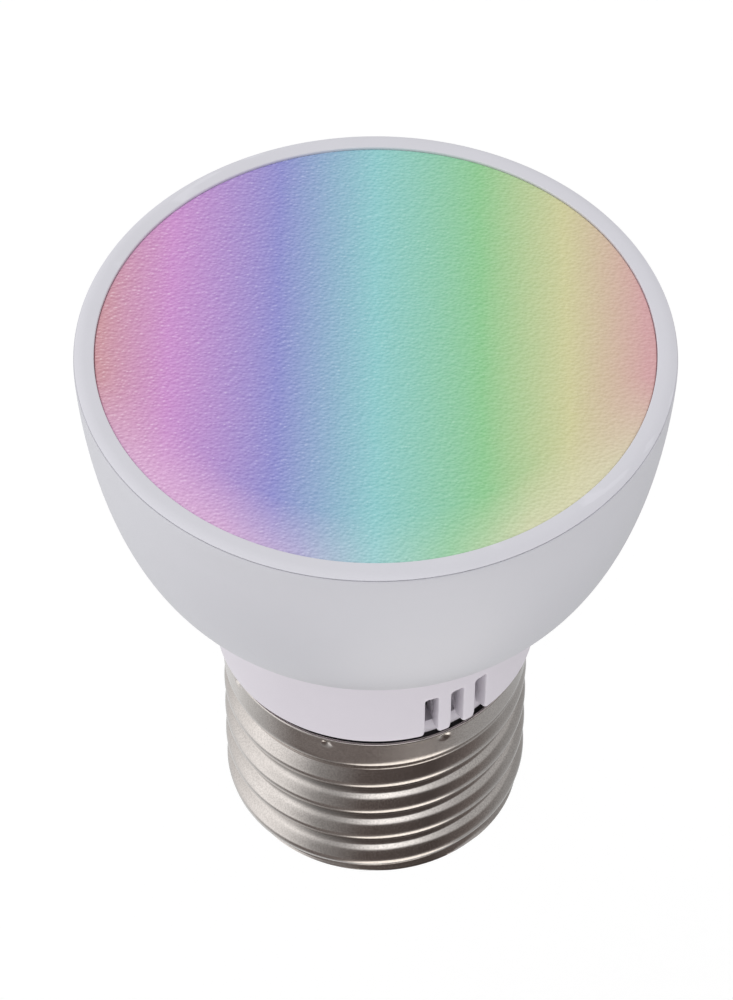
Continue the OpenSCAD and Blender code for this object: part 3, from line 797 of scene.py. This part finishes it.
def chip_window(name, colour, window):
    """A light chip: white ceramic body with a resin window on its upper face."""
    g = Graph(name)
    facing = g.parts(g.add("ShaderNodeNewGeometry").outputs["Normal"])
    top = g.remap(facing[2], 0.7, 0.9, 0, 1)
    grain = g.noise(8, 3)
    tone = g.mix(top, shade(colour, 1), (*window, 1))
    tone = g.mix(g.remap(grain, 0.3, 0.7, 0, 0.3), tone, shade(colour, 0.9))
    gloss = g.remap(grain, 0.3, 0.7, 0.2, 0.35)
    return g.finish(Base_Color=tone, Roughness=gloss, Normal=g.bump(grain, 0.004), IOR=1.5)


def ceramic(name, colour):
    """Fired or sintered ceramic: pitted, with cloudy colour and rubbed edges."""
    g = Graph(name)
    cloud = g.noise(0.8, 5, 0.6)
    pits = g.remap(g.noise(6, 3, 0.6), 0.2, 0.45, 0, 1)
    tone = g.mix(g.remap(cloud, 0.3, 0.7, 0, 1), shade(colour, 0.85), shade(colour, 1.12))
    tone = g.mix(g.pointed(0.52, 0.6), tone, shade(colour, 1.5))
    gloss = g.remap(cloud, 0.3, 0.7, 0.42, 0.6)
    return g.finish(Base_Color=tone, Roughness=gloss, Normal=g.bump(pits, 0.01), IOR=1.6)


def black_glass(name, colour):
    """Fused glass: very dark, glossy, with a flowed surface and a few bubbles."""
    g = Graph(name)
    flow = g.noise(0.5, 3, 0.5, distortion=1.2)
    bubbles = g.remap(g.cells(1.7), 0.05, 0.12, 1, 0)
    tone = g.mix(flow, shade(colour, 0.6), shade(colour, 1.6))
    gloss = g.sum(g.remap(flow, 0.3, 0.7, 0.06, 0.16), bubbles, 0.2)
    normal = g.bump(bubbles, 0.02, 0.5, g.bump(flow, 0.06, 0.5))
    return g.finish(Base_Color=tone, Roughness=gloss, Normal=normal, IOR=1.55)


def side_to_side(g, across, stops):
    """Colours across the diffuser, from (millimetres to the right, colour) stops."""
    half = lens_high.x
    return g.bands(across, [((x + half) / (2 * half), colour) for x, colour in stops])


def lit_bands(g):
    """The diffuser's light: the hues from side to side, paler and closer together by the front rim."""
    pink, magenta, blue = (0.665, 0.29, 0.325), (0.65, 0.245, 0.66), (0.235, 0.235, 0.675)
    cyan, green, yellow = (0.23, 0.63, 0.645), (0.23, 0.63, 0.25), (0.67, 0.65, 0.3)
    rose = (0.705, 0.35, 0.36)
    rim_magenta, rim_blue, rim_yellow = (0.78, 0.37, 0.7), (0.45, 0.36, 0.7), (0.72, 0.7, 0.38)
    half = lens_high.x
    x, y, _ = g.parts(g.place)
    wander = g.remap(g.noise(0.5, 3), 0, 1, -0.3, 0.3)
    across = g.remap(g.sum(x, wander), -half, half, 0, 1)
    face = side_to_side(g, across, [
        (-22.7, pink), (-16.8, magenta), (-8, blue), (0, cyan), (8.6, green), (15.6, yellow), (22, rose),
    ])
    by_rim = side_to_side(g, across, [
        (-12, rim_magenta), (-6, rim_blue), (0, cyan), (6, green), (12, rim_yellow),
    ])
    rim = g.times(g.remap(g.length(x, y), half - 5, half, 0, 0.75), g.remap(y, -3, -13, 0, 1))
    return g.mix(g.times(rim, 0.15), g.mix(rim, face, by_rim), WHITE)


def diffuser_glow(name):
    """The pebbled diffuser, lit from inside: bands of light, and a grain with painted lit and shaded
    sides and painted glints.
    """
    g = Graph(name)
    bands = lit_bands(g)
    # painted light and shade on the grain: each pebble is lighter on one side and darker on the other, as
    # if lit from one side
    wobble = g.add("ShaderNodeTexNoise", {"Vector": g.place, "Scale": 1.1, "Detail": 2.0})
    place = g.vector_math(
        "MULTIPLY_ADD", wobble.outputs["Color"], (0.9, 0.9, 0), g.stretched(2.8, 3.8, 0))
    beside = g.vector_math("ADD", place, (0.08, -0.3, 0))
    pebbles = g.cells(1.0, place=place)
    slope = g.math("SUBTRACT", pebbles, g.cells(1.0, place=beside))
    grain = g.noise(1.0, 3, 0.6, g.stretched(3.4, 5.6, 1), distortion=0.5)
    painted_relief = g.sum(slope, g.math("SUBTRACT", grain, 0.5), 0.5)
    # the painted light and shade is stronger on the left than on the right
    strength = g.remap(g.parts(g.place)[0], -lens_high.x, lens_high.x, 1.1, 0.6)
    painted_relief = g.times(painted_relief, strength)
    # lit and shaded copies of the bands, mixed by the painted relief
    light = g.mix(0.21, bands, WHITE)
    dark = g.mix(1.0, bands, (0.71, 0.71, 0.71, 1), "MULTIPLY")
    tone = g.mix(g.sum(painted_relief, 0.5), dark, light)
    # painted glints where the painted relief is brightest
    painted_glint = g.remap(painted_relief, 0.24, 0.36, 0, 0.22)
    return g.finish(
        Base_Color=g.mix(painted_glint, tone, WHITE),
        Roughness=g.remap(grain, 0.3, 0.7, 0.42, 0.26),
        Normal=g.bump(g.sum(grain, pebbles, -1.0), 0.05, 0.8),
        IOR=1.45, Emission_Color=bands, Emission_Strength=0.12,
    )


RECORD_COLOURS = {m["slot"]: tuple(m["base_color"]) for m in frame["record"]["materials"]}


def slot_material(slot):
    """The material of one of the record's slots."""
    colour = RECORD_COLOURS[slot]
    if slot == "diffuser":
        return diffuser_glow(slot)
    if slot == "bezel":
        return plastic(slot, (0.715, 0.708, 0.762), 5, 0.003, 0.36, 0.05)
    if slot == "bowl":
        # painted shade: darker towards the underside
        fade = (rim_z - 4, bowl_low.z + 2, 0.885)
        return plastic(slot, (0.615, 0.61, 0.652), 7, 0.004, 0.42, 0.06, fade=fade)
    if slot == "neck":
        # painted shade: dark below the metal shell's edge, where the groove is
        fade = (shell_high.z + 0.1, shell_high.z, 0.15)
        return plastic(slot, (0.688, 0.65, 0.703), 5, 0.003, 0.34, 0.05, specular=0.15, fade=fade)
    if slot == "nickel":
        return rolled_nickel(slot, (0.645, 0.59, 0.555))
    if slot == "black_glass":
        return black_glass(slot, colour)
    if slot in ("laminate", "radio_laminate", "light_laminate"):
        return laminate(slot, colour)
    if slot == "rgb_chip":
        return chip_window(slot, (0.85, 0.85, 0.83), (0.75, 0.78, 0.7))
    if slot == "white_chip":
        return chip_window(slot, (0.85, 0.85, 0.83), (0.85, 0.72, 0.3))
    if slot in ("ferrite", "resistor_body", "chip_ceramic"):
        return ceramic(slot, colour)
    if slot in ("contact_brass", "copper", "pin_gold"):
        return metal(slot, colour, 0.24, (5, 5, 5), 0.003, 0.7)
    if slot in ("screw_steel", "shield_steel", "bare_wire"):
        return metal(slot, colour, 0.28, (6, 6, 2), 0.003, 0.75)
    if slot == "sink":
        return metal(slot, colour, 0.32, (4, 4, 1), 0.004, 0.85)
    if slot in ("pad", "red_insulation"):
        return plastic(slot, colour, 4, 0.008, 0.6, 0.08)
    if slot == "capacitor_sleeve":
        return plastic(slot, colour, 5, 0.003, 0.28, 0.06, coat=0.2)
    return plastic(slot, colour, 6, 0.005, 0.45, 0.08)


def dress(pieces):
    """Gives every piece and every CAD node that stays in view its slot's material."""
    made = {}
    slots = {s["node"]: s["material_slot"] for s in frame["record"]["subparts"]}
    shown = [(o, slots[name]) for name, o in frame["nodes"].items() if not o.hide_render]
    for o, slot in shown + [(p, p["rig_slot"]) for p in pieces]:
        if slot not in made:
            made[slot] = slot_material(slot)
        o.data.materials.clear()
        o.data.materials.append(made[slot])


# ---- Studio ----

def make_floor():
    """A pale floor some way below the lamp, clear when seen from underneath."""
    half, height = 3.0, -0.06
    mesh = bpy.data.meshes.new("floor")
    corners = [(x * half, y * half, height) for x, y in ((-1, -1), (1, -1), (1, 1), (-1, 1))]
    mesh.from_pydata(corners, [], [(0, 1, 2, 3)])
    floor = bpy.data.objects.new("floor", mesh)
    bpy.context.scene.collection.objects.link(floor)
    g = Graph("pale_floor")
    tone = g.mix(g.noise(0.01, 2), (0.9, 0.9, 0.9, 1), (0.93, 0.93, 0.93, 1))
    material = g.finish(
        Base_Color=tone, Roughness=0.9, Emission_Color=WHITE, Emission_Strength=0.2)
    below = g.add("ShaderNodeNewGeometry").outputs["Backfacing"]
    clear = g.add("ShaderNodeBsdfTransparent").outputs[0]
    surface = g.add("ShaderNodeMixShader", {0: below, 1: g.shader.outputs[0], 2: clear})
    g.put(g.tree.nodes["Material Output"].inputs["Surface"], surface.outputs[0])
    mesh.materials.append(material)
    floor.visible_glossy = False


def toned(level):
    """A light level's colour in the mirrored room: brown where dark, neutral where bright."""
    dark = min(1.0, max(0.0, (0.4 - level) / 0.3))
    bright, lean = (0.97, 0.99, 1.0), (0.16, -0.03, -0.09)
    return tuple(level * (b + dark * shift) for b, shift in zip(bright, lean))


def ring_of_light(g, around, levels):
    """Light by direction, from (degrees from the front with the right positive, level) stops."""
    return g.bands(around, [((a + 180) / 360, toned(level)) for a, level in levels])


def white_card(g, way):
    """Where the white card below the lamp is: 1 on it, 0 off it."""
    turn, tilt, half_width, soft = math.radians(35), math.radians(-74), 17, 3
    ahead = math.cos(tilt)
    card_way = (math.sin(turn) * ahead, -math.cos(turn) * ahead, math.sin(tilt))
    facing = g.vector_math("DOT_PRODUCT", way, card_way, output="Value")
    off = g.math("DEGREES", g.math("ARCCOSINE", facing))
    return g.remap(off, half_width - soft, half_width + soft, 1, 0)


def mirrored_room(g, way):
    """What the metal mirrors: a dim floor, a dark front, a bright left side and a lamp above.

    Floor, walls and ceiling follow each other from the bottom up, and below is a white card.
    """
    x, y, z = g.parts(way)
    turn = g.math("ARCTAN2", x, g.times(y, -1))
    around = g.remap(turn, -math.pi, math.pi, 0, 1)
    tilt = g.math("DEGREES", g.math("ARCSINE", z))
    floor = ring_of_light(g, around, [
        (-180, 0.8), (-128, 0.85), (-96, 0.57), (-80, 0.33), (-64, 0.15), (-45, 0.2), (0, 0.2),
        (45, 0.3), (75, 0.45), (140, 0.5), (180, 0.8),
    ])
    walls = ring_of_light(g, around, [
        (-180, 0.5), (-118, 0.9), (-82, 1.35), (-62, 1.1), (-40, 0.38), (-10, 0.12), (35, 0.08),
        (65, 0.18), (95, 0.4), (180, 0.5),
    ])
    ceiling = ring_of_light(g, around, [
        (-180, 0.6), (-95, 1.1), (-70, 1.55), (-40, 0.5), (-25, 0.6), (0, 1.75), (20, 1.5),
        (36, 0.9), (60, 0.55), (180, 0.6),
    ])
    room = g.mix(g.remap(tilt, -50, -42, 0, 1), floor, walls)
    # the ceiling comes lower down on the right
    raised = g.sum(tilt, g.remap(turn, 0.4, 1.2, 0, 20))
    room = g.mix(g.remap(raised, 25, 36, 0, 1), room, ceiling)
    room = g.mix(g.remap(tilt, -84, -72, 1, 0), room, (*toned(0.42), 1))
    return g.mix(white_card(g, way), room, (1.65, 1.6, 1.52, 1))


def make_world():
    """Soft white light, a little stronger from the left, and a room that only reflections see."""
    world = bpy.data.worlds.new("studio")
    bpy.context.scene.world = world
    world.use_nodes = True
    world.node_tree.nodes.clear()
    g = Nodes(world.node_tree)
    level, lean = 0.9, 0.24
    way = g.add("ShaderNodeTexCoord").outputs["Generated"]
    soft = g.remap(g.parts(way)[0], -1, 1, level * (1 + lean), level * (1 - lean))
    rays = g.add("ShaderNodeLightPath").outputs
    light = g.mix(rays["Is Glossy Ray"], soft, mirrored_room(g, way))
    shown = g.mix(rays["Is Camera Ray"], light, WHITE)
    background = g.add("ShaderNodeBackground", {"Color": shown}).outputs[0]
    g.add("ShaderNodeOutputWorld", {"Surface": background})
    world.cycles.sampling_method = "NONE"


def make_camera():
    """The camera at the photograph's viewing angle: in front of the lamp and well above it."""
    data = bpy.data.cameras.new("camera")
    camera = bpy.data.objects.new("camera", data)
    bpy.context.scene.collection.objects.link(camera)
    data.lens, data.sensor_width = 182.9, 36.0
    data.clip_start = 0.01
    camera.location = (0, -0.27913, 0.36476)
    aim = Vector((-0.00074, 0, 0.0426))
    camera.rotation_euler = (aim - camera.location).to_track_quat("-Z", "Y").to_euler()
    bpy.context.scene.camera = camera


pieces = [
    make_diffuser(), make_bezel(), make_bowl(), make_skirt(), make_spigot(),
    make_shell(), make_insulator(), make_contact(),
]
dress(pieces)
make_floor()
make_world()
make_camera()
bpy.context.scene.view_settings.view_transform = "Standard"
